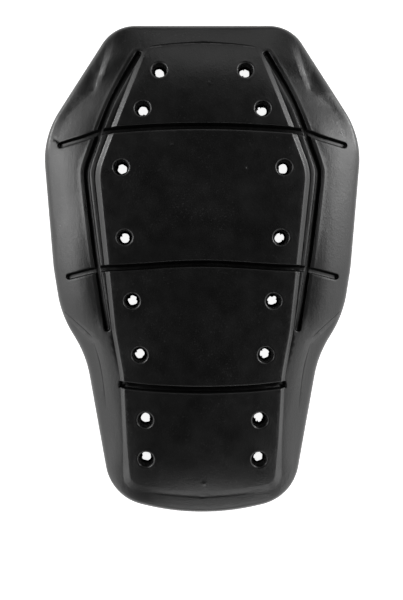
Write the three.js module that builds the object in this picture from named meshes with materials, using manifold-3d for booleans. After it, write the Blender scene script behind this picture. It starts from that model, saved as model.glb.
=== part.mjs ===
// Back protector insert for a motorcycle jacket: one flexible foam rubber moulding, shaped like a
// shallow shell. Its outer face has a raised middle panel, moulded grooves and sixteen vent holes,
// and its wearer's side is hollowed. It lies on its rim, hollow side down.
// Millimetres, +X across the back, +Y towards the neck, +Z out of the back, origin under the middle.
import * as THREE from 'three';
import { mergeVertices } from 'three/addons/utils/BufferGeometryUtils.js';
import Module from 'manifold-3d';

const wasm = await Module();
wasm.setup();

// Overall size and shell
const padLength = 448;
const padWidth = 290;
const crownHeight = 34;
const wallThickness = 18;
const acrossFullness = 3.6;
const alongFullness = 4;

// Rounded outer edge
const rimHeight = 8;
const rimRound = 4;
const rimFootRound = 1;
const rimTurnShare = 0.3;

// Raised middle panel
const panelRise = 4;
const panelRiseFade = 1.5;
const panelFadePower = 5;
const panelBevel = 4.2;

// Grooves
const sideGrooveWidth = 5.8;
const sideGrooveDepth = 5;
const crossGrooveWidth = 5.2;
const crossGrooveDepth = 4.4;
const grooveEndTaper = 7;
const grooveEndShare = 0.3;

// Vent holes, wide at the outer face and narrow at the wearer's side
const holeMouth = 13.5;
const holeBack = 9;
const holeRimRound = 1.4;
const holeRimLift = 0.3;
const holeSides = 16;

// Lowered flange at the shoulders and at the lower sides: how far out it lies under the shell, and how
// high over the rim it fades
const flangeReach = 18;
const flangeFadeHeight = 5;

// Mesh steps, how far cutters reach past the pad, and where the spine of the rings ends
const edgeStep = 14;
const arcStep = THREE.MathUtils.degToRad(10);
const clearOver = 12;
const spineShare = 0.62;

const halfWidth = padWidth / 2;
const halfLength = padLength / 2;

// Outline corners of the right half, neck end to tail, as shares of the half width and half length,
// with each corner's radius as a share of the half width.
const outlineCorners = [
  { across: 0.0, along: 1.0, radius: 0 },
  { across: 0.566, along: 1.0, radius: 0.21 },
  { across: 1.016, along: 0.545, radius: 0.56 },
  { across: 0.945, along: 0.005, radius: 0.83 },
  { across: 0.897, along: -0.189, radius: 0.69 },
  { across: 0.738, along: -0.358, radius: 0.7 },
  { across: 0.577, along: -0.938, radius: 0.3 },
  { across: 0.0, along: -1.031, radius: 1.54 },
];

// Middle line of the panel's bevel, in the same way.
const panelCorners = [
  { across: 0.0, along: 0.922, radius: 0 },
  { across: 0.356, along: 0.9, radius: 0.08 },
  { across: 0.654, along: 0.39, radius: 0.3 },
  { across: 0.549, along: -0.25, radius: 0.9 },
  { across: 0.5, along: -0.43, radius: 0.4 },
  { across: 0.472, along: -0.888, radius: 0.09 },
  { across: 0.0, along: -0.928, radius: 1.5 },
];

// Middle line of the groove beside the panel, neck end first.
const sideGroove = [
  { across: 0.402, along: 0.873 },
  { across: 0.516, along: 0.742 },
  { across: 0.589, along: 0.64 },
  { across: 0.682, along: 0.475 },
  { across: 0.717, along: 0.408 },
  { across: 0.722, along: 0.37 },
  { across: 0.709, along: 0.29 },
  { across: 0.676, along: 0.113 },
  { across: 0.632, along: -0.088 },
  { across: 0.594, along: -0.241 },
];

// Middle lines of the grooves across, from the middle out to the right.
const crossGrooves = {
  neck: [
    { across: 0.0, along: 0.571 },
    { across: 0.309, along: 0.566 },
    { across: 0.612, along: 0.552 },
    { across: 0.749, along: 0.526 },
    { across: 0.891, along: 0.503 },
  ],
  waist: [
    { across: 0.0, along: 0.021 },
    { across: 0.45, along: 0.006 },
    { across: 0.631, along: -0.001 },
    { across: 0.837, along: -0.032 },
  ],
  tail: [
    { across: 0.0, along: -0.484 },
    { across: 0.3, along: -0.478 },
    { across: 0.51, along: -0.467 },
  ],
};

const holePlaces = [
  { across: 0.269, along: 0.802 },
  { across: 0.373, along: 0.643 },
  { across: 0.505, along: 0.406 },
  { across: 0.484, along: 0.125 },
  { across: 0.438, along: -0.129 },
  { across: 0.39, along: -0.345 },
  { across: 0.356, along: -0.608 },
  { across: 0.353, along: -0.77 },
];

// Lowered flanges of the right side. Each lies outside its sides, which run from one place to another,
// neck end first, with the width of the bevel on the inner side as a share of the half width. The
// depths under the shell are shares of the panel's rise at shares of the half length, tail end first.
const flanges = [
  {
    sides: [
      { across: 0.607, along: 0.88, toAcross: 0.673, toAlong: 0.718, bevel: 0.04 },
      { across: 0.673, along: 0.718, toAcross: 0.87, toAlong: 0.594, bevel: 0.085 },
    ],
    depths: [
      { along: 0.55, depth: 0.0 },
      { along: 0.58, depth: 0.1 },
      { along: 0.64, depth: 0.6 },
      { along: 0.718, depth: 0.9 },
      { along: 0.82, depth: 0.8 },
      { along: 0.93, depth: 0.4 },
    ],
  },
  {
    sides: [
      { across: 0.874, along: -0.194, toAcross: 0.687, toAlong: -0.304, bevel: 0.03 },
      { across: 0.687, along: -0.304, toAcross: 0.614, toAlong: -0.512, bevel: 0.048 },
    ],
    depths: [
      { along: -0.7, depth: 0.0 },
      { along: -0.512, depth: 0.12 },
      { along: -0.304, depth: 0.4 },
      { along: -0.2, depth: 0.3 },
      { along: -0.15, depth: 0.0 },
    ],
  },
];

const placeOf = (row) => new THREE.Vector2(row.across * halfWidth, row.along * halfLength);

// Points of the arc that rounds the corner at b between the lines from a and to c.
function filletPoints(a, b, c, radius) {
  const towardsA = a.clone().sub(b).normalize();
  const towardsC = c.clone().sub(b).normalize();
  const halfAngle = Math.acos(THREE.MathUtils.clamp(towardsA.dot(towardsC), -1, 1)) / 2;
  const tangent = radius / Math.tan(halfAngle);
  const start = b.clone().addScaledVector(towardsA, tangent);
  const end = b.clone().addScaledVector(towardsC, tangent);
  const middle = towardsA.clone().add(towardsC).normalize();
  const centre = b.clone().addScaledVector(middle, radius / Math.sin(halfAngle));
  const startAngle = start.clone().sub(centre).angle();
  let turn = end.clone().sub(centre).angle() - startAngle;
  turn = THREE.MathUtils.euclideanModulo(turn + Math.PI, 2 * Math.PI) - Math.PI;
  const steps = 2 * Math.ceil(Math.abs(turn) / arcStep / 2);
  const points = [];
  for (let i = 0; i <= steps; i += 1) {
    const angle = startAngle + (turn * i) / steps;
    points.push(new THREE.Vector2(Math.cos(angle), Math.sin(angle)).multiplyScalar(radius).add(centre));
  }
  return points;
}

// Points no further apart than edgeStep along a line of points.
function stepped(points) {
  const result = [points[0]];
  for (let i = 1; i < points.length; i += 1) {
    const steps = Math.max(1, Math.ceil(points[i].distanceTo(points[i - 1]) / edgeStep));
    for (let j = 1; j <= steps; j += 1) {
      result.push(points[i - 1].clone().lerp(points[i], j / steps));
    }
  }
  return result;
}

const mirrored = (point) => new THREE.Vector2(-point.x, point.y);

// Whole loop from the corners of its right half: down the right side and up the left.
function loopFromCorners(corners) {
  const places = corners.map(placeOf);
  const half = [places[0]];
  const last = places.length - 1;
  for (let i = 1; i < last; i += 1) {
    half.push(...filletPoints(places[i - 1], places[i], places[i + 1], corners[i].radius * halfWidth));
  }
  const tail = filletPoints(places[last - 1], places[last], mirrored(places[last - 1]),
    corners[last].radius * halfWidth);
  half.push(...tail.slice(0, (tail.length + 1) / 2));
  half[half.length - 1].x = 0;
  const right = stepped(half);
  const left = right.slice(1, -1).reverse().map(mirrored);
  return [...right, ...left];
}

// The loop moved inwards by a distance along its own normals.
function inset(loop, distance) {
  return loop.map((point, i) => {
    const before = loop[(i + loop.length - 1) % loop.length];
    const after = loop[(i + 1) % loop.length];
    const along = after.clone().sub(before).normalize();
    return new THREE.Vector2(point.x + along.y * distance, point.y - along.x * distance);
  });
}

const outline = loopFromCorners(outlineCorners);

const panelLoop = loopFromCorners(panelCorners);

// Half a loop's width at a height up the back.
function halfWidthAt(loop, y) {
  for (let i = 1; i < loop.length; i += 1) {
    const above = loop[i - 1];
    const below = loop[i];
    if (above.y >= y && below.y <= y && above.y > below.y) {
      return above.x + ((below.x - above.x) * (above.y - y)) / (above.y - below.y);
    }
  }
  return loop[1].x;
}

// Value at a place between rows whose "along" rises, level beyond both ends.
function between(rows, along) {
  for (let i = 1; i < rows.length; i += 1) {
    if (along <= rows[i].along) {
      const share = (along - rows[i - 1].along) / (rows[i].along - rows[i - 1].along);
      return THREE.MathUtils.lerp(rows[i - 1].depth, rows[i].depth, Math.max(0, share));
    }
  }
  return rows[rows.length - 1].depth;
}

// How far the flanges lie under the shell at a place: deepest at the foot of their bevels, fading
// outwards over their reach and over what is left of the shell's height.
function flangeDrop(x, y, heightOverRim) {
  const place = new THREE.Vector2(Math.abs(x), y);
  let drop = 0;
  for (const flange of flanges) {
    let bevel = 1;
    let outside = Infinity;
    for (const side of flange.sides) {
      const start = placeOf(side);
      const end = placeOf({ across: side.toAcross, along: side.toAlong });
      const run = end.sub(start).normalize();
      const inwards = place.clone().sub(start).cross(run);
      bevel = Math.min(bevel, 1 - THREE.MathUtils.clamp(inwards / (side.bevel * halfWidth), 0, 1));
      outside = Math.min(outside, -inwards);
    }
    const reach = THREE.MathUtils.clamp(1 - Math.max(0, outside) / flangeReach, 0, 1);
    const fade = THREE.MathUtils.clamp(heightOverRim / flangeFadeHeight, 0, 1);
    drop = Math.max(drop, between(flange.depths, y / halfLength) * panelRise * bevel * reach * fade);
  }
  return drop;
}

// Outer face of the shell without the panel.
function domeHeight(x, y) {
  const up = Math.min(1, Math.abs(y) / halfLength);
  const out = Math.min(1, Math.abs(x) / Math.max(halfWidthAt(outline, y), 1));
  const fullness = (1 - out ** acrossFullness) * (1 - up ** alongFullness);
  const overRim = (crownHeight - rimHeight) * fullness;
  return rimHeight + overRim - flangeDrop(x, y, overRim);
}

// Outer face of the panel: an even arc across, standing by its rise over the shell at its edges. Near
// the neck and the tail it runs out into the shell.
function panelHeight(x, y) {
  const edge = Math.max(halfWidthAt(panelLoop, y), Math.abs(x), 1);
  const middle = domeHeight(0, y);
  const fade = panelRiseFade * Math.min(1, Math.abs(y) / halfLength) ** panelFadePower;
  const share = Math.max(0, 1 - fade);
  const arc = middle - (middle - domeHeight(edge, y)) * (x / edge) ** 2;
  return THREE.MathUtils.lerp(domeHeight(x, y), arc, share) + panelRise * share;
}

const raise = (loop, height) => loop.map((point) => new THREE.Vector3(point.x, point.y,
  typeof height === 'function' ? height(point.x, point.y) : height));

// Rings from a loop in towards the spine line up the middle.
function ringsToSpine(loop, shares, height) {
  return shares.map((share) => raise(loop.map((point) => point.clone().lerp(
    new THREE.Vector2(0, point.y * spineShare), share)), height));
}

// A closed solid from rings of equally many points. An end ring that has an area gets a flat end.
function solidFromRings(rings, flatEnds = false) {
  const count = rings[0].length;
  const positions = rings.flat().flatMap((point) => [point.x, point.y, point.z]);
  const faces = [];
  for (let r = 1; r < rings.length; r += 1) {
    for (let i = 0; i < count; i += 1) {
      const next = (i + 1) % count;
      const low = (r - 1) * count;
      const high = r * count;
      faces.push([low + i, low + next, high + next], [low + i, high + next, high + i]);
    }
  }
  if (flatEnds) {
    const top = (rings.length - 1) * count;
    for (let i = 2; i < count; i += 1) {
      faces.push([0, i, i - 1], [top, top + i - 1, top + i]);
    }
  }
  return toManifold(positions, faces.flat());
}

// Manifold solid with its shared points merged, its slivers dropped and its faces out.
function toManifold(positions, indices) {
  let geometry = new THREE.BufferGeometry();
  geometry.setAttribute('position', new THREE.Float32BufferAttribute(positions, 3));
  geometry.setIndex(indices);
  geometry = mergeVertices(geometry, 1e-4);
  const place = geometry.getAttribute('position');
  const index = geometry.getIndex().array;
  const corner = [0, 1, 2].map(() => new THREE.Vector3());
  const kept = [];
  let volume = 0;
  for (let i = 0; i < index.length; i += 3) {
    const [a, b, c] = index.slice(i, i + 3);
    if (a !== b && b !== c && a !== c) {
      kept.push(a, b, c);
      corner.forEach((point, k) => point.fromBufferAttribute(place, index[i + k]));
      volume += corner[0].dot(corner[1].clone().cross(corner[2]));
    }
  }
  if (volume < 0) {
    kept.reverse();
  }
  return new wasm.Manifold(new wasm.Mesh({
    numProp: 3,
    vertProperties: new Float32Array(place.array),
    triVerts: new Uint32Array(kept),
  }));
}

// Shell without its hollow: rounded edge, then the domed outer face.
function shellBody() {
  const shares = [0.06, 0.13, 0.2, 0.28, 0.38, 0.55, 0.77, 1];
  const foot = inset(outline, rimFootRound);
  const rings = [
    ...ringsToSpine(foot, [1], 0),
    raise(foot, 0),
    raise(outline, rimFootRound),
    raise(outline, rimHeight - rimRound),
    raise(inset(outline, rimRound * rimTurnShare), rimHeight - rimRound * rimTurnShare),
    raise(inset(outline, rimRound), domeHeight),
    ...ringsToSpine(inset(outline, rimRound), shares, domeHeight),
  ];
  return solidFromRings(rings);
}

// Raised panel with its bevel, reaching down into the shell.
function panelBody() {
  const foot = inset(panelLoop, -panelBevel / 2);
  const top = inset(panelLoop, panelBevel / 2);
  const shares = [0.12, 0.28, 0.46, 0.64, 0.82, 1];
  const rings = [
    ...ringsToSpine(foot, [1], rimFootRound),
    raise(foot, rimFootRound),
    raise(foot, domeHeight),
    raise(top, panelHeight),
    ...ringsToSpine(top, shares, panelHeight),
  ];
  return solidFromRings(rings);
}

// What is hollowed out of the wearer's side: the dome again, one wall lower.
function hollowCore() {
  const edge = inset(outline, rimHeight);
  const shares = [0.1, 0.22, 0.36, 0.54, 0.76, 1];
  const roof = (x, y) => domeHeight(x, y) - wallThickness;
  const rings = [
    ...ringsToSpine(edge, [1], -wallThickness - clearOver),
    raise(edge, -wallThickness - clearOver),
    raise(edge, roof),
    ...ringsToSpine(edge, shares, roof),
  ];
  return solidFromRings(rings);
}

// Cutter for a groove of a given width along a line, its floor a depth under the dome. The floor
// rises to the surface at both ends.
function grooveCutter(line, width, depth) {
  const curve = new THREE.SplineCurve(line);
  const length = curve.getLength();
  const count = Math.ceil(length / edgeStep) + 1;
  const ends = [0, 0.25, 1].map((share) => (share * grooveEndTaper) / length);
  const shares = [...ends];
  for (let i = 1; i < count; i += 1) {
    shares.push(THREE.MathUtils.lerp(ends[2], 1 - ends[2], i / count));
  }
  shares.push(...ends.map((share) => 1 - share).reverse());
  const rings = shares.map((share) => {
    const place = curve.getPointAt(share);
    const along = curve.getTangentAt(share);
    const side = new THREE.Vector2(-along.y, along.x);
    const fromEnd = Math.min(share, 1 - share) * length;
    const fade = Math.min(1, fromEnd / grooveEndTaper);
    const half = (width / 2) * THREE.MathUtils.lerp(grooveEndShare, 1, Math.sqrt(fade));
    const floor = domeHeight(place.x, place.y) - depth * THREE.MathUtils.lerp(grooveEndShare, 1, fade);
    return [[-half, floor], [half, floor], [half, crownHeight + clearOver],
      [-half, crownHeight + clearOver]].map(([offset, height]) => {
      return new THREE.Vector3(place.x + side.x * offset, place.y + side.y * offset, height);
    });
  });
  return solidFromRings(rings, true);
}

// Cutter for a vent hole: tapered, with a rounded rim at the panel's face.
function holeCutter(place) {
  const top = panelHeight(place.x, place.y);
  const bottom = top - panelRise - wallThickness;
  const mouth = holeMouth / 2;
  const back = holeBack / 2;
  const profile = [
    [0, bottom - clearOver],
    [back, bottom - clearOver],
    [back, bottom],
    [mouth, top - holeRimRound],
    [mouth + holeRimRound, top + holeRimLift],
    [mouth + holeRimRound, top + clearOver],
    [0, top + clearOver],
  ].map(([radius, height]) => new THREE.Vector2(radius, height));
  const geometry = new THREE.LatheGeometry(profile, holeSides);
  geometry.rotateX(Math.PI / 2);
  geometry.translate(place.x, place.y, 0);
  return toManifold(Array.from(geometry.getAttribute('position').array),
    Array.from(geometry.getIndex().array));
}

const bothSides = (line) => [...line.slice(1).reverse().map(mirrored), ...line];

function protectorPad() {
  let solid = shellBody().add(panelBody()).subtract(hollowCore());
  const rightGroove = sideGroove.map(placeOf);
  const cutters = [
    grooveCutter(rightGroove, sideGrooveWidth, sideGrooveDepth),
    grooveCutter(rightGroove.map(mirrored), sideGrooveWidth, sideGrooveDepth),
  ];
  for (const rows of Object.values(crossGrooves)) {
    cutters.push(grooveCutter(bothSides(rows.map(placeOf)), crossGrooveWidth, crossGrooveDepth));
  }
  for (const row of holePlaces) {
    const place = placeOf(row);
    cutters.push(holeCutter(place), holeCutter(mirrored(place)));
  }
  for (const cutter of cutters) {
    solid = solid.subtract(cutter);
  }
  const mesh = solid.getMesh();
  const geometry = new THREE.BufferGeometry();
  geometry.setAttribute('position', new THREE.Float32BufferAttribute(mesh.vertProperties, 3));
  geometry.setIndex(new THREE.BufferAttribute(mesh.triVerts, 1));
  geometry.computeVertexNormals();
  const rubber = new THREE.MeshStandardMaterial({ color: 0x1b1b1c, roughness: 0.55, metalness: 0 });
  const pad = new THREE.Mesh(geometry, rubber);
  pad.name = 'protector_pad';
  return pad;
}

const group = new THREE.Group();
group.add(protectorPad());

export default group;
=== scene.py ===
"""Looks for the back protector insert: one moulded pad of black foam rubber lying on its rim.

The pad's fine surface is worked out from the same corner tables and sizes as its solid, in
millimetres, and made as one mesh in metres. Every line that shows, such as a groove's wall or a
hole's rim, is an edge of the mesh, and a constrained triangulation fills what lies between.
"""
import math
from collections import namedtuple

import bpy
import numpy as np
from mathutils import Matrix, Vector, geometry, kdtree


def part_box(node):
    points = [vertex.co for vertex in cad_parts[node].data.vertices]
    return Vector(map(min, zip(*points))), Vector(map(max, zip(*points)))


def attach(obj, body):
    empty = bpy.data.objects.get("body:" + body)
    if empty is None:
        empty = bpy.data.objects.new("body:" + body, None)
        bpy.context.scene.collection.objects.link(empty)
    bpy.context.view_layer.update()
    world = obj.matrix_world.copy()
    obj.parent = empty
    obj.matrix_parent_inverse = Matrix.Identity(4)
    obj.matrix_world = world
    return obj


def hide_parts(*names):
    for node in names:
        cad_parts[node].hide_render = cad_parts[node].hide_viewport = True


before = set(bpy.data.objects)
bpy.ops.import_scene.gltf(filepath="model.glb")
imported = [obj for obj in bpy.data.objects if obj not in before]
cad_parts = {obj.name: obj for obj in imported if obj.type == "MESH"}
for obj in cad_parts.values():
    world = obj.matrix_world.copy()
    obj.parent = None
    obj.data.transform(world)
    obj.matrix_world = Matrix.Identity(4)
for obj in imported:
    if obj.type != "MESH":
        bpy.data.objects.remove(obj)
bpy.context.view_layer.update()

MM = 0.001
NODE = "protector_pad"

# Sizes in millimetres, as the solid has them
low_corner, high_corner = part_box(NODE)
HALF_WIDTH = (high_corner[0] - low_corner[0]) / 2 / MM
HALF_LENGTH = high_corner[1] / MM
PANEL_RISE = 4.0
CROWN_HEIGHT = high_corner[2] / MM - PANEL_RISE
WALL = 18.0
RIM_HEIGHT = 8.0
RIM_ROUND = 4.0
RIM_FOOT_ROUND = 1.0
SIDE_GROOVE_WIDTH = 5.8
SIDE_GROOVE_DEPTH = 5.0
CROSS_GROOVE_WIDTH = 5.8
CROSS_GROOVE_DEPTH = 4.4
MOUTH_RADIUS = 13.8 / 2
BACK_RADIUS = 12.4 / 2

# Powers of the dome's curves across and along, and how the panel's rise fades out at both ends
ACROSS_FULLNESS = 3.6
ALONG_FULLNESS = 4.0
RISE_FADE = 1.5
RISE_POWER = 5

# Finer sizes in millimetres: the crease at the foot of the panel's bevel, how far out the wings lie
# low, the soft turn at the hollow's edge, the width under which a crease gets painted shade, the
# rounding of the holes' back ends, and the step inside their mouths
FOOT_DEPTH = 0.24
WING_REACH = 24.0
HOLLOW_EASE = 2.5
FINE_CREASE = 3.0
BACK_MOUTH = BACK_RADIUS + 0.4
MOUTH_STEP = 0.05

# Torn skin at the back of the holes, in millimetres: mean radius of its ragged edge, thickness, least
# radius, least width, and rounding where the hole's wall meets it. The edge has waves, whose height
# falls by a power of their number, and one to three notches with a spread in radians and a depth.
FLASH_RADIUS = 8.4 / 2
FLASH_THICK = 0.9
FLASH_LEAST = 2.2
FLASH_MARGIN = 0.5
LEDGE_ROUND = 0.6
FLASH_SEED = 11
FLASH_WAVES = 6
WAVE_HEIGHT = 0.34
WAVE_POWER = 0.7
MOST_NOTCHES = 3
NOTCH_SPREAD = (0.12, 0.3)
NOTCH_DEPTH = (0.5, 1.7)

# Mesh steps in millimetres, and numbers of points
LINE_STEP = 1.6
FILL_STEP = 2.9
FILL_CLEAR = 1.25
BACK_FILL_STEP = 4.0
BACK_FILL_CLEAR = 1.8
HOLE_SIDES = 44
PIMPLE_SIDES = 12
ARC_POINTS = 25
SPLINE_POINTS = 12
POINTS_AT_ONCE = 4000

# Distances in millimetres below which points count as one, and guards against dividing by zero
SAME_POINT = 1e-6
MERGE_DISTANCE = 1e-4
TINY = 1e-9
LEAST_HALF_WIDTH = 1.0


def table(columns, rows):
    """Rows of a table, with a name for each column."""
    row_type = namedtuple("Row", columns)
    return [row_type(*row) for row in rows]


def column(rows, name):
    """One column of a table, from top to bottom."""
    return [getattr(row, name) for row in rows]


def read(rows, at, name):
    """Values of a table's column at places on its first column, straight between the rows."""
    return np.interp(at, [row[0] for row in rows], column(rows, name))


# Corners of the right half from neck to tail: shares of the half width and the half length, and the
# radius as a share of the half width
OUTLINE = table("across along radius", [
    (0.0, 1.0, 0.0),
    (0.562, 1.0, 0.25),
    (1.015, 0.541, 0.56),
    (0.945, 0.005, 0.83),
    (0.897, -0.189, 0.69),
    (0.738, -0.358, 0.7),
    (0.577, -0.938, 0.3),
    (0.0, -1.031, 1.54),
])
PANEL = table("across along radius", [
    (0.0, 0.922, 0.0),
    (0.356, 0.9, 0.08),
    (0.654, 0.39, 0.3),
    (0.549, -0.25, 0.9),
    (0.5, -0.43, 0.4),
    (0.472, -0.888, 0.09),
    (0.0, -0.928, 1.5),
])

# Vent holes of the right half: shares of the half width and the half length
HOLES = table("across along", [
    (0.269, 0.802), (0.373, 0.643), (0.505, 0.406), (0.484, 0.125),
    (0.438, -0.129), (0.39, -0.345), (0.356, -0.608), (0.353, -0.77),
])

# Middle line of the right side groove, and the right halves of the cross grooves: shares of the half
# width and the half length. A cross groove also has the wall on its neck side, as a column of
# GROOVE_WALL, the drop of its lower lip in millimetres, and whether its ends are square.
SIDE_GROOVE = [
    (0.402, 0.873), (0.516, 0.742), (0.589, 0.64), (0.682, 0.475), (0.717, 0.408),
    (0.722, 0.37), (0.709, 0.29), (0.676, 0.113), (0.632, -0.088), (0.594, -0.241),
]
CROSS_GROOVES = table("spots wall lip square", [
    ([(0.0, 0.571), (0.309, 0.566), (0.612, 0.552), (0.749, 0.526), (0.891, 0.503)], "slant", 0.2, False),
    ([(0.0, 0.021), (0.45, 0.006), (0.631, -0.001), (0.837, -0.032)], "slant", 0.2, False),
    ([(0.0, -0.484), (0.3, -0.478), (0.498, -0.467)], "steep", 0.9, True),
])

# A groove's wall from its top inwards: share of the depth, painted shade, and millimetres from the
# groove's edge on a steep wall and on a slanted one. The painted shade turns the skin's shine down so
# that walls and floors come out dark; the floor has its own painted shade, past its share of the depth.
FLOOR_PAINTED_SHADE = 0.25
FLOOR_SHARE = 0.99
GROOVE_WALL = table("depth shade steep slant", [
    (0.0, 0.0, -1.0, -0.5),
    (0.03, 0.3, -0.35, -0.1),
    (0.14, 1.0, 0.1, 0.2),
    (0.95, 1.0, 0.6, 1.9),
    (1.0, FLOOR_PAINTED_SHADE, 1.0, 2.4),
])

# Rounded lower lip of the cross grooves on the panel: millimetres outside the edge, share of its drop
GROOVE_LIP = table("outside drop", [(-0.4, 1.0), (0.0, 1.0), (0.8, 0.42), (1.6, 0.1), (2.4, 0.0)])

# Faint ridge beside the side grooves: millimetres outside the edge and height, and its share of that
# height along the pad
RIDGE = table("outside height", [
    (0.0, 0.0), (0.5, 0.05), (2.6, 0.22), (3.1, 0.24), (3.7, 0.08), (5.0, 0.0),
])
RIDGE_STRENGTH = table("along share", [(-0.1, 0.25), (0.25, 1.0)])

# Panel's bevel: millimetres inside the panel's line, share of the panel's rise, and share of the depth
# of the crease at its foot
BEVEL = table("inside rise foot", [
    (-3.0, 0.0, 0.0),
    (-2.5, 0.0, 1.0),
    (-2.05, 0.0, 0.2),
    (-1.6, 0.09, 0.0),
    (0.0, 0.5, 0.0),
    (1.4, 0.91, 0.0),
    (1.75, 0.98, 0.0),
    (2.1, 1.0, 0.0),
])
# How strong the crease at the bevel's foot is along the pad, and the painted shade in that crease at its
# full depth
FOOT_STRENGTH = table("along share", [(-0.42, 0.15), (-0.3, 1.0)])
FOOT_PAINTED_SHADE = 0.6

# Width of the bevel along the pad, as a share of the width in BEVEL
BEVEL_SPREAD = table("along share", [
    (-1.0, 2.0), (-0.88, 1.9), (-0.8, 1.3), (-0.7, 0.9),
    (-0.3, 0.85), (0.0, 1.0), (0.5, 1.12), (1.0, 1.12),
])

# How far the wings lie under the shell beside the side grooves: share of the half length, millimetres
WING_DROPS = table("along drop", [
    (-0.25, 0.0), (-0.19, 1.6), (-0.13, 2.3), (0.0, 1.7), (0.15, 0.3),
    (0.5, 0.3), (0.66, 1.2), (0.78, 0.7), (0.87, 0.0),
])

# Lowered flanges of the right half. Each lies outside its sides. A side runs from a start to an end in
# shares of the half width and the half length, with the width of its bevel and how far out it lies low
# in millimetres, and whether the bevel is a smooth curve. A flange also has its depths, as shares of
# the half length and of the panel's rise, the rounding of the bevel's foot in millimetres, and whether
# it fades out as soon as the reach of one side runs out, or only with the last.
FLANGE_SIDE = "across along end_across end_along bevel reach smooth"
FLANGES = table("sides depths foot_round fades_first", [
    (
        table(FLANGE_SIDE, [
            (0.61, 0.9, 0.682, 0.726, 5.8, 18.0, False),
            (0.682, 0.726, 0.868, 0.612, 4.5, 45.0, False),
        ]),
        table("along depth", [(0.5, 0.85), (0.78, 0.9), (0.86, 0.75), (0.94, 0.3)]),
        2.0, True,
    ),
    (
        table(FLANGE_SIDE, [(0.682, 0.726, 0.868, 0.612, 26.0, 12.0, True)]),
        table("along depth", [(0.48, 0.0), (0.56, 0.5), (0.66, 0.85), (0.76, 0.65), (0.86, 0.0)]),
        2.0, False,
    ),
    (
        table(FLANGE_SIDE, [
            (0.874, -0.194, 0.687, -0.304, 4.2, 18.0, False),
            (0.687, -0.304, 0.614, -0.512, 7.0, 18.0, False),
        ]),
        table("along depth", [(-0.7, 0.0), (-0.512, 0.15), (-0.304, 0.5), (-0.2, 0.4), (-0.15, 0.0)]),
        0.3, False,
    ),
])

# A flange's share of its depth at the rim, and how far above the rim it has its whole depth
FLANGE_AT_RIM = 0.3
FLANGE_RIM_EASE = 6.0

# Shallow creases in the skin: width and depth in millimetres, whether the left side has it too, and
# spots in shares of the half width, the half length and the depth
CREASES = table("width depth both_sides spots", [
    (1.4, 0.5, True, [(0.0, 0.92, 1.0), (0.17, 0.916, 1.0), (0.29, 0.906, 0.8), (0.345, 0.9, 0.2)]),
    (3.6, 0.18, True, [(0.0, -0.93, 1.0), (0.2, -0.918, 1.0), (0.32, -0.907, 0.3)]),
    (1.1, 0.35, True, [
        (0.87, -0.175, 0.3), (0.857, -0.182, 1.0), (0.718, -0.259, 1.0), (0.69, -0.28, 0.2),
    ]),
    (1.2, 0.3, True, [
        (0.682, -0.3, 0.3), (0.652, -0.363, 1.0), (0.633, -0.419, 1.0), (0.614, -0.512, 0.6),
        (0.607, -0.573, 0.1),
    ]),
    (2.4, 1.6, False, [(-0.93, 0.53, 0.3), (-0.918, 0.521, 1.0), (-0.892, 0.505, 1.0)]),
])
# Painted shade in fine creases, where they are deepest
CREASE_PAINTED_SHADE = 0.8

# Small raised marks left by the mould: shares of the half width and the half length, and the radius and
# height in millimetres
PIMPLES = table("across along radius height", [
    (0.042, 0.748, 1.3, 0.15),
    (-0.19, 0.497, 1.2, 0.3),
    (0.262, 0.401, 1.4, 0.35),
    (0.012, -0.872, 1.3, 0.2),
])

# Rounded lip of a hole: millimetres outside its mouth, and height over the surface
HOLE_LIP = table("outside height", [
    (0.0, -1.5), (0.25, -0.75), (0.6, -0.3), (1.1, 0.04), (1.8, 0.1), (2.8, 0.0),
])

# Lines of the mesh. Rim rings lie inside the outline by shares of the rim's rounding, and foot rings
# have how far in and how high they lie as shares of the foot's. The rest are in millimetres: lines
# outside a groove's edge, the nearest that a line comes to a groove's middle, how far from the edges of
# a flange's bevel its lines lie, and rings inside the outline and round the holes at the back. Pimple
# rings are shares of the pimple's radius.
RIM_RINGS = (0.03, 0.1125, 0.25, 0.45, 0.7, 1.0, 1.55)
FOOT_RINGS = table("inwards height", [(0.0, 2.2), (0.0, 1.0), (0.3, 0.3)])
BESIDE_GROOVES = (2.0, 2.6, 3.1, 3.7)
GROOVE_MIDDLE = 0.3
BESIDE_BEVELS = 0.3
PIMPLE_RINGS = (0.35, 0.7, 1.0)
BACK_RINGS = (2.5, 5.0)
BACK_HOLE_RINGS = (BACK_RADIUS + 1.2, BACK_RADIUS + 3.0)

# Rings down a hole's wall, as shares of the way to its ledge, and over the torn skin: share of the way
# to its ragged edge, and millimetres over the ledge
HOLE_RINGS = (0.1, 0.35, 0.65, 0.9, 1.0)
FLASH_RINGS = table("share height", [(0.35, 0.15), (0.8, 0.0), (1.0, -0.4), (0.85, -0.62), (0.3, -0.7)])

# Lights: position, aim and size in metres, and power in watts
LIGHTS = table("name position aim size power", [
    ("left_softbox", (-0.92, 0.18, 0.61), (0, 0.03, 0), (0.5, 0.45), 2.7),
    ("right_softbox", (0.95, 0.34, 0.57), (0, 0.03, 0), (0.6, 0.5), 3.5),
    ("neck_fill", (0.1, 0.95, 0.62), (0, 0.1, 0), (0.6, 0.3), 0.5),
    ("tail_fill", (0.15, -1.1, 0.45), (0, -0.1, 0), (0.7, 0.25), 1.3),
    ("left_shoulder_strip", (-1.15, 0.58, 0.16), (-0.1, 0.17, 0), (0.35, 0.15), 3.2),
    ("right_shoulder_strip", (1.15, 0.58, 0.16), (0.1, 0.17, 0), (0.35, 0.15), 2.8),
    ("low_left_fill", (-0.8, -0.75, 0.4), (0, 0, 0), (0.5, 0.3), 0.6),
    ("low_right_fill", (0.8, -0.75, 0.4), (0, 0, 0), (0.5, 0.3), 0.6),
])

# Floor's side in metres
FLOOR_SIZE = 8

# Room: squash of its dark top sideways and lengthways, where it turns bright, and both strengths
ROOM_SHAPE = (1, 0.64, 0)
ROOM_TURN = (0.52, 0.9)
ROOM_STRENGTH = (0.02, 1.55)

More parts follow.
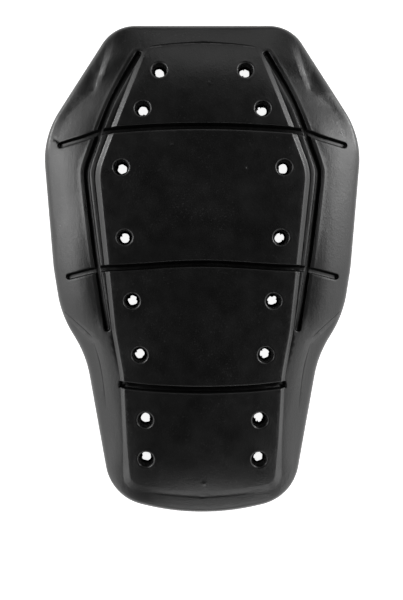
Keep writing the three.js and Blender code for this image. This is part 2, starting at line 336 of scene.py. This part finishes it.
# Camera in metres, and the photo's framing in its pixels
CAMERA_HEIGHT = 1.0
CAMERA_ASIDE = -0.02
SENSOR_HEIGHT = 36
PHOTO_HEIGHT = 600
PAD_WIDTH_IN_PHOTO = 313.2
SHIFT_ACROSS_IN_PHOTO = 0.5
SHIFT_ALONG = -0.0522


def place(across, along):
    """Point in plan, from shares of the half width and the half length."""
    return np.array([across * HALF_WIDTH, along * HALF_LENGTH])


def unit(vector):
    """The same direction with a length of one."""
    return vector / np.linalg.norm(vector)


def mirrored(points):
    """The same points on the other side of the middle."""
    flipped = np.array(points)
    flipped[..., 0] = -flipped[..., 0]
    return flipped


def fillet(before, corner, after, radius):
    """Points of the arc that rounds a corner."""
    towards_before = unit(before - corner)
    towards_after = unit(after - corner)
    half = math.acos(float(np.clip(towards_before @ towards_after, -1, 1))) / 2
    tangent = radius / math.tan(half)
    start = corner + towards_before * tangent
    end = corner + towards_after * tangent
    centre = corner + unit(towards_before + towards_after) * radius / math.sin(half)
    start_angle = math.atan2(*(start - centre)[::-1])
    turn = math.atan2(*(end - centre)[::-1]) - start_angle
    turn = (turn + math.pi) % (2 * math.pi) - math.pi
    angles = start_angle + turn * np.linspace(0, 1, ARC_POINTS)
    return centre + radius * np.stack([np.cos(angles), np.sin(angles)], axis=1)


def resampled(points):
    """The same line with points about a step apart."""
    lengths = np.linalg.norm(np.diff(points, axis=0), axis=1)
    apart = lengths > SAME_POINT
    points = points[np.concatenate([[True], apart])]
    along = np.concatenate([[0], np.cumsum(lengths[apart])])
    wanted = np.linspace(0, along[-1], max(2, round(along[-1] / LINE_STEP) + 1))
    return np.stack([np.interp(wanted, along, points[:, k]) for k in range(points.shape[1])], axis=1)


def loop_from(corners):
    """Whole loop from the corners of its right half, clockwise from the neck's middle."""
    spots = [place(corner.across, corner.along) for corner in corners]
    half = [spots[0][None]]
    for before, spot, after, corner in zip(spots, spots[1:], spots[2:], corners[1:]):
        half.append(fillet(before, spot, after, corner.radius * HALF_WIDTH))
    tail = fillet(spots[-2], spots[-1], mirrored(spots[-2]), corners[-1].radius * HALF_WIDTH)
    half.append(tail[:ARC_POINTS // 2 + 1])
    right = resampled(np.concatenate(half))
    right[0, 0] = 0
    right[-1, 0] = 0
    return np.concatenate([right, mirrored(right[1:-1][::-1])])


def inset(loop, distance):
    """The loop moved inwards by a distance."""
    along = np.roll(loop, -1, axis=0) - np.roll(loop, 1, axis=0)
    along /= np.linalg.norm(along, axis=1)[:, None]
    return loop + distance * np.stack([along[:, 1], -along[:, 0]], axis=1)


def spline(rows):
    """Smooth line through rows of numbers, sampled evenly."""
    rows = np.asarray(rows, float)
    padded = np.concatenate([[2 * rows[0] - rows[1]], rows, [2 * rows[-1] - rows[-2]]])
    t = np.linspace(0, 1, SPLINE_POINTS, endpoint=False)[:, None]
    pieces = []
    for a, b, c, d in zip(padded, padded[1:], padded[2:], padded[3:]):
        pieces.append(0.5 * (2 * b + (c - a) * t + (2 * a - 5 * b + 4 * c - d) * t ** 2
                             + (3 * b - a - 3 * c + d) * t ** 3))
    pieces.append(rows[-1][None])
    return resampled(np.concatenate(pieces))


def circle(centre, radius, sides=HOLE_SIDES):
    """Evenly spaced points on a circle."""
    angles = np.linspace(0, 2 * math.pi, sides, endpoint=False)
    return centre + radius * np.stack([np.cos(angles), np.sin(angles)], axis=1)


def capsule(line, half, square=False):
    """Loop at a distance round a line, with round or square ends."""
    along = np.gradient(line, axis=0)
    along /= np.linalg.norm(along, axis=1)[:, None]
    side = np.stack([-along[:, 1], along[:, 0]], axis=1)
    turns = max(4, round(math.pi * half / LINE_STEP))
    # A square end needs a point at each of its corners
    if square:
        turns = 4 * round(turns / 4)
    angles = np.linspace(0, math.pi, turns + 1)[1:-1, None]
    out = half / (np.maximum(np.abs(np.cos(angles)), np.sin(angles)) if square else 1)
    end = line[-1] + out * (np.cos(angles) * side[-1] + np.sin(angles) * along[-1])
    start = line[0] - out * (np.cos(angles) * side[0] + np.sin(angles) * along[0])
    return np.concatenate([line + side * half, end, (line - side * half)[::-1], start])


def nearest(points, line, closed=False, square=False):
    """For each point: its distance to the line, and how squarely it lies to the line's left or right,
    from 1 to -1. Past a square end, the distance is measured so that the end comes out square."""
    starts = line if closed else line[:-1]
    ends = np.roll(line, -1, axis=0) if closed else line[1:]
    run = ends - starts
    squares = (run ** 2).sum(axis=1)
    distance = np.empty(len(points))
    lean = np.empty(len(points))
    for first in range(0, len(points), POINTS_AT_ONCE):
        part = slice(first, first + POINTS_AT_ONCE)
        offset = points[part, None, :] - starts[None]
        along = np.clip((offset * run).sum(axis=2) / squares, 0, 1)
        away = offset - along[..., None] * run
        near = np.linalg.norm(away, axis=2)
        best = near.argmin(axis=1)
        row = np.arange(len(best))
        distance[part] = near[row, best]
        cross = run[best, 0] * away[row, best, 1] - run[best, 1] * away[row, best, 0]
        lean[part] = cross / np.maximum(near[row, best] * np.sqrt(squares[best]), TINY)
    if square:
        for end, before in ((line[0], line[1]), (line[-1], line[-2])):
            over = (points - end) @ unit(end - before)
            beside = np.sqrt(np.maximum(distance ** 2 - over ** 2, 0))
            distance = np.where(over > 0, np.maximum(over, beside), distance)
    return distance, lean


def search_tree(points):
    """Tree that finds the nearest of the points in plan."""
    tree = kdtree.KDTree(len(points))
    for i, point in enumerate(points):
        tree.insert((point[0], point[1], 0), i)
    tree.balance()
    return tree


def half_width_at(loop, y):
    """How far out the loop's right half lies at each place along the pad."""
    right = loop[:len(loop) // 2 + 1]
    return np.interp(-y, -right[:, 1], right[:, 0])


def inside(points, loop):
    """Which points lie inside a loop that is the same left and right."""
    y = points[:, 1]
    within = (y < loop[:, 1].max()) & (y > loop[:, 1].min())
    return within & (np.abs(points[:, 0]) < half_width_at(loop, y))


Groove = namedtuple("Groove", "line half depth wall lip square ridged")
Crease = namedtuple("Crease", "line width depth")


def all_grooves():
    """Both side grooves, then the cross grooves from neck to tail."""
    lines = [side_line, mirrored(side_line)[::-1]]
    half = SIDE_GROOVE_WIDTH / 2
    grooves = [Groove(line, half, SIDE_GROOVE_DEPTH, "slant", 0.0, False, True) for line in lines]
    for row in CROSS_GROOVES:
        right = np.array([place(*spot) for spot in row.spots])
        line = spline(np.concatenate([mirrored(right[1:])[::-1], right]))
        half = CROSS_GROOVE_WIDTH / 2
        grooves.append(Groove(line, half, CROSS_GROOVE_DEPTH, row.wall, row.lip, row.square, False))
    return grooves


def all_creases():
    """Each crease, followed by its mirror image where the left side has it too."""
    creases = []
    for row in CREASES:
        line = spline([(*place(across, along), share) for across, along, share in row.spots])
        creases.append(Crease(line, row.width, row.depth))
        if row.both_sides:
            creases.append(Crease(mirrored(line), row.width, row.depth))
    return creases


outline = loop_from(OUTLINE)
panel_line = loop_from(PANEL)
side_line = spline([place(*spot) for spot in SIDE_GROOVE])
groove_list = all_grooves()
crease_list = all_creases()
right_holes = np.array([place(hole.across, hole.along) for hole in HOLES])
hole_centres = np.concatenate([right_holes, mirrored(right_holes)])


def side_ends(side):
    """Both ends of a flange's side, and the direction that it runs in."""
    start = place(side.across, side.along)
    end = place(side.end_across, side.end_along)
    return start, end, unit(end - start)


def flange_drop(points, over_rim):
    """How far the flanges lie under the shell: deepest at the foot of their bevels, fading outwards."""
    right = np.stack([np.abs(points[:, 0]), points[:, 1]], axis=1)
    at_rim = FLANGE_AT_RIM + (1 - FLANGE_AT_RIM) * np.clip(over_rim / FLANGE_RIM_EASE, 0, 1)
    drop = np.zeros(len(points))
    for flange in FLANGES:
        bevel = np.ones(len(points))
        reaches = []
        for side in flange.sides:
            start, _, run = side_ends(side)
            inwards = run[1] * (right[:, 0] - start[0]) - run[0] * (right[:, 1] - start[1])
            fade = 1 - np.clip(inwards / side.bevel, 0, 1)
            bevel = np.minimum(bevel, fade * fade * (3 - 2 * fade) if side.smooth else fade)
            outwards = np.maximum(-inwards, 0)
            rounded = np.sqrt(outwards ** 2 + flange.foot_round ** 2) - flange.foot_round
            reaches.append(np.clip(1 - rounded / side.reach, 0, 1))
        reach = np.min(reaches, axis=0) if flange.fades_first else np.max(reaches, axis=0)
        depth = read(flange.depths, right[:, 1] / HALF_LENGTH, "depth") * PANEL_RISE
        drop = np.maximum(drop, depth * bevel * reach * at_rim)
    return drop


def dome(points):
    """Height of the shell's outer face without the panel."""
    up = np.clip(np.abs(points[:, 1]) / HALF_LENGTH, 0, 1)
    half = np.maximum(half_width_at(outline, points[:, 1]), LEAST_HALF_WIDTH)
    out = np.abs(points[:, 0]) / half
    full = (1 - np.clip(out, 0, 1) ** ACROSS_FULLNESS) * (1 - up ** ALONG_FULLNESS)
    over_rim = (CROWN_HEIGHT - RIM_HEIGHT) * full
    return RIM_HEIGHT + over_rim - flange_drop(points, over_rim)


def panel_top(points):
    """Height of the panel's outer face: an even arc across that runs out into the shell near the neck
    and the tail."""
    y = points[:, 1]
    half = np.maximum(half_width_at(panel_line, y), np.abs(points[:, 0]))
    edge = np.maximum(half, LEAST_HALF_WIDTH)
    middle = dome(np.stack([np.zeros(len(y)), y], axis=1))
    at_edge = dome(np.stack([edge, y], axis=1))
    up = np.clip(np.abs(y) / HALF_LENGTH, 0, 1)
    share = np.clip(1 - RISE_FADE * up ** RISE_POWER, 0, 1)
    arc = middle - (middle - at_edge) * (points[:, 0] / edge) ** 2
    shell = dome(points)
    return shell + share * (arc - shell + PANEL_RISE)


def wing_drop(points):
    """How far the wings lie under the shell: deepest beside the side groove, none on its inner side."""
    groove_x = np.interp(-points[:, 1], -side_line[:, 1], side_line[:, 0])
    outside = np.abs(points[:, 0]) - groove_x
    deepest = read(WING_DROPS, points[:, 1] / HALF_LENGTH, "drop")
    fade = np.clip(1 - (outside - SIDE_GROOVE_WIDTH / 2) / WING_REACH, 0, 1)
    return np.where(outside > 0, deepest * fade * fade, 0)


def bevel_spread(y):
    """Width of the panel's bevel along the pad, as a share of its width in BEVEL."""
    return read(BEVEL_SPREAD, y / HALF_LENGTH, "share")


def across_groove(distance, lean, groove, name):
    """A column of the groove's wall table at each point. The groove's own wall is on its left."""
    values = column(GROOVE_WALL, name)
    left = np.interp(groove.half - distance, column(GROOVE_WALL, groove.wall), values)
    right = np.interp(groove.half - distance, column(GROOVE_WALL, "steep"), values)
    return right + (left - right) * (1 + lean) / 2


def grooved(points, surface, shell, blend, shade):
    """The surface with its grooves, their lips and their ridges, and the painted shade on the grooves'
    walls and floors. A groove's floor lies its depth under the shell, on the panel too."""
    cut = np.zeros(len(points))
    floor = np.zeros(len(points))
    ridge_share = read(RIDGE_STRENGTH, points[:, 1] / HALF_LENGTH, "share")
    for groove in groove_list:
        distance, lean = nearest(points, groove.line, square=groove.square)
        outside = distance - groove.half
        share = across_groove(distance, lean, groove, "depth")
        cut = np.maximum(cut, share * (surface - shell + groove.depth))
        shade = np.maximum(shade, across_groove(distance, lean, groove, "shade"))
        floor = np.maximum(floor, share)
        lip = groove.lip * read(GROOVE_LIP, outside, "drop")
        surface = surface - lip * blend * np.clip(-lean, 0, 1)
        if groove.ridged:
            ridge = ridge_share * read(RIDGE, outside, "height")
            surface = surface + ridge * np.clip(lean, 0, 1) * np.clip(1 - blend, 0, 1)
    return surface - cut, np.where(floor > FLOOR_SHARE, FLOOR_PAINTED_SHADE, shade)


def crease_dip(points, crease):
    """Depth of a V-shaped crease whose line holds shares of the depth in its third column."""
    tree = search_tree(crease.line)
    rows = [tree.find((x, y, 0))[1] for x, y in points]
    away = nearest(points, crease.line[:, :2])[0]
    return crease.depth * crease.line[rows, 2] * np.clip(1 - away / (crease.width / 2), 0, 1)


def small_relief(points):
    """Height of the mould's pimples and of the lips round the holes."""
    height = np.zeros(len(points))
    for pimple in PIMPLES:
        away = np.linalg.norm(points - place(pimple.across, pimple.along), axis=1)
        height += pimple.height * np.clip(1 - (away / pimple.radius) ** 2, 0, 1)
    for centre in hole_centres:
        outside = np.linalg.norm(points - centre, axis=1) - MOUTH_RADIUS
        height += read(HOLE_LIP, outside, "height")
    return height


def front_face(points):
    """Height of the whole outer face, and how much painted shade each place gets on the grooves' walls
    and floors, in fine creases and at the bevel's foot.
    """
    along = points[:, 1] / HALF_LENGTH
    shell = dome(points)
    top = panel_top(points)
    distance = nearest(points, panel_line, closed=True)[0]
    signed = np.where(inside(points, panel_line), distance, -distance) / bevel_spread(points[:, 1])
    blend = read(BEVEL, signed, "rise")
    foot = np.clip((top - shell) / PANEL_RISE, 0, 1) * read(BEVEL, signed, "foot")
    foot *= read(FOOT_STRENGTH, along, "share")
    surface = shell + blend * (top - shell) - wing_drop(points) - FOOT_DEPTH * foot
    height, shade = grooved(points, surface, shell, blend, FOOT_PAINTED_SHADE * foot)
    for crease in crease_list:
        dip = crease_dip(points, crease)
        height -= dip
        # Fine creases get painted shade, darkest where they are deepest
        if crease.width < FINE_CREASE:
            shade = np.maximum(shade, CREASE_PAINTED_SHADE * dip / crease.depth)
    height += small_relief(points)
    rim = np.clip(1 - nearest(points, outline, closed=True)[0] / RIM_ROUND, 0, 1)
    return height - RIM_ROUND * (1 - np.sqrt(1 - rim ** 2)), shade


def back_height(points):
    """Height of the wearer's side: flat under the rim, then the shell one wall lower."""
    roof = dome(points) - WALL
    eased = (roof + HOLLOW_EASE) ** 2 / (4 * HOLLOW_EASE)
    return np.where(roof < -HOLLOW_EASE, 0, np.where(roof > HOLLOW_EASE, roof, eased))


class Plan:
    """Points and edges in plan, triangulated with every edge kept."""

    def __init__(self):
        self.points = []
        self.edges = []
        self.count = 0

    def add(self, points, closed=True):
        """Adds a line or a loop, and returns the numbers of its points."""
        first = self.count
        self.points.append(points)
        self.count += len(points)
        index = list(range(first, self.count))
        self.edges += list(zip(index[:-1], index[1:]))
        if closed:
            self.edges.append((index[-1], first))
        return index

    def fill(self, boundary, hole_radius, step, clear):
        """Adds evenly spaced points that keep clear of the lines."""
        tree = search_tree(np.concatenate(self.points))
        kept = []
        for k, y in enumerate(np.arange(-HALF_LENGTH, HALF_LENGTH, step * math.sqrt(3) / 2)):
            reach = float(half_width_at(boundary, np.array([y]))[0]) - clear
            columns = np.arange(-HALF_WIDTH + (k % 2) * step / 2, HALF_WIDTH, step)
            for x in columns[np.abs(columns) < reach]:
                if tree.find((x, y, 0))[2] > clear:
                    kept.append((x, y))
        kept = np.array(kept)
        for centre in hole_centres:
            kept = kept[np.linalg.norm(kept - centre, axis=1) > hole_radius + clear]
        self.points.append(kept)
        self.count += len(kept)

    def triangles(self, boundary, hole_radius):
        """Returns the points, the triangles inside the boundary and outside the holes, and where each
        point that was put in is now."""
        points = [Vector(point) for point in np.concatenate(self.points)]
        result = geometry.delaunay_2d_cdt(points, self.edges, [], 0, MERGE_DISTANCE)
        places = np.array([(point.x, point.y) for point in result[0]])
        faces = np.array(result[2])
        where = {}
        for new, olds in enumerate(result[3]):
            for old in olds:
                where[old] = new
        middle = places[faces].mean(axis=1)
        keep = inside(middle, boundary)
        for centre in hole_centres:
            keep &= np.linalg.norm(middle - centre, axis=1) > hole_radius
        return places, faces[keep], where


def add_flange_lines(plan):
    """Lines at the top and the foot of each flange's bevel."""
    for flange in FLANGES:
        for side in flange.sides:
            start, end, run = side_ends(side)
            inner = np.array([run[1], -run[0]])
            for bevel_edge in (0.0, side.bevel):
                for distance in (bevel_edge - BESIDE_BEVELS, bevel_edge + BESIDE_BEVELS):
                    feet = resampled(np.stack([start, end]) + inner * distance)
                    plan.add(feet, closed=False)
                    plan.add(mirrored(feet), closed=False)


def front_plan():
    """The outer face in plan, with the numbers of the points on its edge and on the holes' mouths."""
    plan = Plan()
    edge = plan.add(outline)
    for share in RIM_RINGS:
        plan.add(inset(outline, share * RIM_ROUND))
    mouths = [plan.add(circle(centre, MOUTH_RADIUS)) for centre in hole_centres]
    for centre in hole_centres:
        for row in HOLE_LIP[1:]:
            plan.add(circle(centre, MOUTH_RADIUS + row.outside))
    spread = bevel_spread(panel_line[:, 1])[:, None]
    for row in BEVEL:
        plan.add(inset(panel_line, row.inside * spread))
    outer = [-distance for distance in BESIDE_GROOVES]
    for groove in groove_list:
        wall_lines = {*column(GROOVE_WALL, "steep"), *column(GROOVE_WALL, groove.wall), *outer}
        for inwards in sorted(wall_lines):
            if groove.half - inwards > GROOVE_MIDDLE:
                plan.add(capsule(groove.line, groove.half - inwards, groove.square))
    for crease in crease_list:
        plan.add(crease.line[:, :2], closed=False)
        plan.add(capsule(crease.line[:, :2], crease.width / 2))
    for pimple in PIMPLES:
        for share in PIMPLE_RINGS:
            spot = place(pimple.across, pimple.along)
            plan.add(circle(spot, pimple.radius * share, PIMPLE_SIDES))
    add_flange_lines(plan)
    plan.fill(outline, MOUTH_RADIUS + HOLE_LIP[-1].outside, FILL_STEP, FILL_CLEAR)
    return plan, edge, mouths


def back_plan(boundary):
    """The wearer's side in plan, with the numbers of the points on its edge and on the holes."""
    plan = Plan()
    edge = plan.add(boundary)
    for distance in BACK_RINGS:
        plan.add(inset(outline, distance))
    mouths = [plan.add(circle(centre, BACK_MOUTH)) for centre in hole_centres]
    for centre in hole_centres:
        for radius in BACK_HOLE_RINGS:
            plan.add(circle(centre, radius))
    plan.fill(boundary, BACK_HOLE_RINGS[-1], BACK_FILL_STEP, BACK_FILL_CLEAR)
    return plan, edge, mouths


class Skin:
    """Vertices in millimetres and faces of the pad's mesh, added part by part."""

    def __init__(self):
        self.vertices = []
        self.faces = []
        self.count = 0

    def ring(self, places, height):
        """Adds vertices and returns their numbers."""
        first = self.count
        self.vertices.append(np.column_stack([places, np.broadcast_to(height, len(places))]))
        self.count += len(places)
        return list(range(first, self.count))

    def sheet(self, places, heights, triangles):
        """Adds a triangulated sheet and returns the number of its first vertex."""
        first = self.ring(places, heights)[0]
        self.faces += [tuple(first + triangle) for triangle in triangles]
        return first

    def bands(self, rings, into_hole=False):
        """Adds the faces between each ring and the next."""
        for above, below in zip(rings[:-1], rings[1:]):
            if into_hole:
                above, below = below, above
            for i in range(len(above)):
                after = (i + 1) % len(above)
                self.faces.append((above[i], above[after], below[after], below[i]))


def flash_radius(rng):
    """Ragged edge of the torn skin at the back of a hole: slow waves with one to three notches."""
    angles = np.linspace(0, 2 * math.pi, HOLE_SIDES, endpoint=False)
    radius = np.full(HOLE_SIDES, FLASH_RADIUS)
    for wave in range(1, FLASH_WAVES + 1):
        height = rng.normal(0, WAVE_HEIGHT / wave ** WAVE_POWER)
        radius += height * np.cos(wave * angles + rng.uniform(0, 2 * math.pi))
    for _ in range(rng.integers(1, MOST_NOTCHES + 1)):
        at = rng.uniform(0, 2 * math.pi)
        spread = rng.uniform(*NOTCH_SPREAD)
        gap = (angles - at + math.pi) % (2 * math.pi) - math.pi
        radius -= rng.uniform(*NOTCH_DEPTH) * np.exp(-(gap / spread) ** 2)
    return np.clip(radius, FLASH_LEAST, BACK_RADIUS - FLASH_MARGIN)


def add_hole(skin, centre, mouth, back_mouth, top, ragged):
    """Tapered wall of a hole, and the torn skin at its back."""
    spokes = circle(np.zeros(2), 1.0)
    ledge = back_height(circle(centre, BACK_MOUTH)) + FLASH_THICK
    rings = [mouth]
    for share in HOLE_RINGS:
        radius = MOUTH_RADIUS - MOUTH_STEP + share * (BACK_RADIUS - MOUTH_RADIUS)
        rings.append(skin.ring(centre + spokes * radius, top + share * (ledge + LEDGE_ROUND - top)))
    for row in FLASH_RINGS:
        radius = BACK_RADIUS + row.share * (ragged - BACK_RADIUS)
        rings.append(skin.ring(centre + spokes * radius[:, None], ledge + row.height))
    rings.append(back_mouth)
    skin.bands(rings, into_hole=True)


def pad_mesh():
    """The whole pad: outer face, wearer's side, rounded rim and holes, as one closed mesh."""
    skin = Skin()
    plan, edge, mouths = front_plan()
    front, triangles, where = plan.triangles(outline, MOUTH_RADIUS)
    heights, painted_shades = front_face(front)
    skin.sheet(front, heights, triangles)
    front_edge = [where[i] for i in edge]
    front_mouths = [[where[i] for i in mouth] for mouth in mouths]

    boundary = inset(outline, RIM_FOOT_ROUND)
    plan, edge, mouths = back_plan(boundary)
    back, triangles, where = plan.triangles(boundary, BACK_MOUTH)
    first = skin.sheet(back, back_height(back), triangles[:, ::-1])
    back_edge = [first + where[i] for i in edge]
    back_mouths = [[first + where[i] for i in mouth] for mouth in mouths]

    rings = [front_edge]
    for row in FOOT_RINGS:
        places = inset(outline, RIM_FOOT_ROUND * row.inwards)
        rings.append(skin.ring(places, RIM_FOOT_ROUND * row.height))
    skin.bands(rings + [back_edge])

    outer_faces = len(skin.faces)
    rng = np.random.default_rng(FLASH_SEED)
    for centre, mouth, back_mouth in zip(hole_centres, front_mouths, back_mouths):
        add_hole(skin, centre, mouth, back_mouth, heights[mouth], flash_radius(rng))

    mesh = bpy.data.meshes.new("protector_body")
    faces = [tuple(map(int, face)) for face in skin.faces]
    mesh.from_pydata((np.concatenate(skin.vertices) * MM).tolist(), [], faces)
    mesh.shade_smooth()
    inner = np.zeros(len(faces), dtype=np.int32)
    inner[outer_faces:] = 1
    mesh.polygons.foreach_set("material_index", inner)
    # Painted shade on each point, which the rubber's material turns into darkness
    shade = mesh.attributes.new("painted_groove_shade", "FLOAT", "POINT")
    shade.data.foreach_set("value", np.concatenate([painted_shades, np.zeros(skin.count - len(painted_shades))]))
    return mesh


def rubber_material():
    """Black foam rubber with a matt moulded skin, and painted shade in its grooves and creases."""
    material = bpy.data.materials.new("moulded_rubber")
    material.use_nodes = True
    nodes = material.node_tree.nodes
    links = material.node_tree.links
    shader = nodes["Principled BSDF"]
    shader.inputs["IOR"].default_value = 1.58
    coords = nodes.new("ShaderNodeTexCoord")

    def noise(scale, detail, low, high, stretch=1.0, reach=(0.0, 1.0)):
        """Noise of so many spots a metre. Its values over a reach are turned into low to high."""
        longer = nodes.new("ShaderNodeMapping")
        longer.inputs["Scale"].default_value = (1, stretch, 1)
        links.new(coords.outputs["Object"], longer.inputs["Vector"])
        node = nodes.new("ShaderNodeTexNoise")
        node.inputs["Scale"].default_value = scale
        node.inputs["Detail"].default_value = detail
        links.new(longer.outputs["Vector"], node.inputs["Vector"])
        return ranged(node.outputs["Fac"], low, high, reach)

    def ranged(value, low, high, reach=(0.0, 1.0)):
        node = nodes.new("ShaderNodeMapRange")
        for name, number in zip(("From Min", "From Max", "To Min", "To Max"), (*reach, low, high)):
            node.inputs[name].default_value = number
        links.new(value, node.inputs["Value"])
        return node.outputs["Result"]

    def combined(first, second, operation="ADD"):
        node = nodes.new("ShaderNodeMath")
        node.operation = operation
        links.new(first, node.inputs[0])
        links.new(second, node.inputs[1])
        return node.outputs["Value"]

    common_values = (0.3, 0.7)
    blotches = noise(22, 3, 0.28, 0.34, reach=common_values)
    clouds = noise(90, 5, -0.02, 0.02, reach=common_values)
    links.new(combined(blotches, clouds), shader.inputs["Roughness"])
    specks = noise(700, 2, 0.0, 0.026, reach=(0.6, 0.8))
    dusty = noise(30, 3, 0.1, 1.0, reach=(0.42, 0.62))
    soot = noise(45, 6, 0.003, 0.0055, reach=common_values)
    links.new(combined(combined(specks, dusty, "MULTIPLY"), soot), shader.inputs["Base Color"])
    grain = noise(650, 3, 0.0, 0.0001)
    ripple = noise(260, 2, 0.0, 0.00007)
    streaks = noise(110, 3, 0.0, 0.00018, stretch=0.22)
    bump = nodes.new("ShaderNodeBump")
    bump.inputs["Strength"].default_value = 1
    bump.inputs["Distance"].default_value = 1
    links.new(combined(combined(grain, ripple), streaks), bump.inputs["Height"])
    links.new(bump.outputs["Normal"], shader.inputs["Normal"])
    # Painted shade: where the mesh's painted shade is high, the skin's shine is turned nearly off, so
    # groove walls and floors, fine creases and the bevel's foot come out dark
    shade = nodes.new("ShaderNodeAttribute")
    shade.attribute_name = "painted_groove_shade"
    links.new(ranged(shade.outputs["Fac"], 0.5, 0.06), shader.inputs["Specular IOR Level"])
    return material


def hole_material_with_painted_shade():
    """Black foam inside the holes and on the torn skin at their backs, with its shine turned nearly off
    as painted shade so that the holes stay dark.
    """
    material = bpy.data.materials.new("hole_foam_painted_shade")
    material.use_nodes = True
    shader = material.node_tree.nodes["Principled BSDF"]
    shader.inputs["Base Color"].default_value = (0.006, 0.006, 0.006, 1)
    shader.inputs["Roughness"].default_value = 0.9
    # Painted shade: next to no shine, so the hole walls don't mirror the bright floor
    shader.inputs["Specular IOR Level"].default_value = 0.05
    return material


def make_pad():
    """The pad's one piece, in the place of its solid."""
    pad = bpy.data.objects.new("protector_body", pad_mesh())
    bpy.context.collection.objects.link(pad)
    pad.data.materials.append(rubber_material())
    pad.data.materials.append(hole_material_with_painted_shade())
    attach(pad, "root")
    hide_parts(NODE)
    return pad


def make_floor():
    """Pale glowing table, as under a product photograph."""
    bpy.ops.mesh.primitive_plane_add(size=FLOOR_SIZE, location=(0, 0, 0))
    floor = bpy.context.object
    floor.name = "floor"
    material = bpy.data.materials.new("pale_floor")
    material.use_nodes = True
    shader = material.node_tree.nodes["Principled BSDF"]
    shader.inputs["Base Color"].default_value = (0.85, 0.85, 0.85, 1)
    shader.inputs["Roughness"].default_value = 0.9
    shader.inputs["Emission Color"].default_value = (1, 1, 1, 1)
    shader.inputs["Emission Strength"].default_value = 0.9
    floor.data.materials.append(material)


def make_room():
    """Room that is dark overhead and brighter all round, brightest at both sides."""
    world = bpy.data.worlds.new("studio")
    bpy.context.scene.world = world
    world.use_nodes = True
    nodes = world.node_tree.nodes
    links = world.node_tree.links
    coords = nodes.new("ShaderNodeTexCoord")
    squash = nodes.new("ShaderNodeVectorMath")
    squash.operation = "MULTIPLY"
    squash.inputs[1].default_value = ROOM_SHAPE
    length = nodes.new("ShaderNodeVectorMath")
    length.operation = "LENGTH"
    ramp = nodes.new("ShaderNodeMapRange")
    ramp.interpolation_type = "SMOOTHSTEP"
    for name, number in zip(("From Min", "From Max", "To Min", "To Max"), (*ROOM_TURN, *ROOM_STRENGTH)):
        ramp.inputs[name].default_value = number
    links.new(coords.outputs["Generated"], squash.inputs[0])
    links.new(squash.outputs["Vector"], length.inputs[0])
    links.new(length.outputs["Value"], ramp.inputs["Value"])
    links.new(ramp.outputs["Result"], nodes["Background"].inputs["Strength"])
    nodes["Background"].inputs["Color"].default_value = (1, 1, 1, 1)


def make_lights():
    """Rectangular softboxes, each aimed at its part of the pad."""
    for row in LIGHTS:
        data = bpy.data.lights.new(row.name, "AREA")
        data.shape = "RECTANGLE"
        data.size, data.size_y = row.size
        data.energy = row.power
        light = bpy.data.objects.new(row.name, data)
        light.location = row.position
        towards = Vector(row.aim) - Vector(row.position)
        light.rotation_euler = towards.to_track_quat("-Z", "Y").to_euler()
        bpy.context.collection.objects.link(light)
    bpy.context.scene.view_settings.view_transform = "Standard"


def make_camera():
    """Straight above, at the photo's framing."""
    frame_height = PHOTO_HEIGHT * (2 * HALF_WIDTH * MM) / PAD_WIDTH_IN_PHOTO
    data = bpy.data.cameras.new("camera")
    data.sensor_fit = "VERTICAL"
    data.sensor_height = SENSOR_HEIGHT
    data.lens = data.sensor_height * CAMERA_HEIGHT / frame_height
    data.shift_x = -CAMERA_ASIDE / frame_height - SHIFT_ACROSS_IN_PHOTO / PHOTO_HEIGHT
    data.shift_y = SHIFT_ALONG
    camera = bpy.data.objects.new("camera", data)
    camera.location = (CAMERA_ASIDE, 0, CAMERA_HEIGHT)
    bpy.context.collection.objects.link(camera)
    bpy.context.scene.camera = camera


make_camera()
make_pad()
make_floor()
make_room()
make_lights()
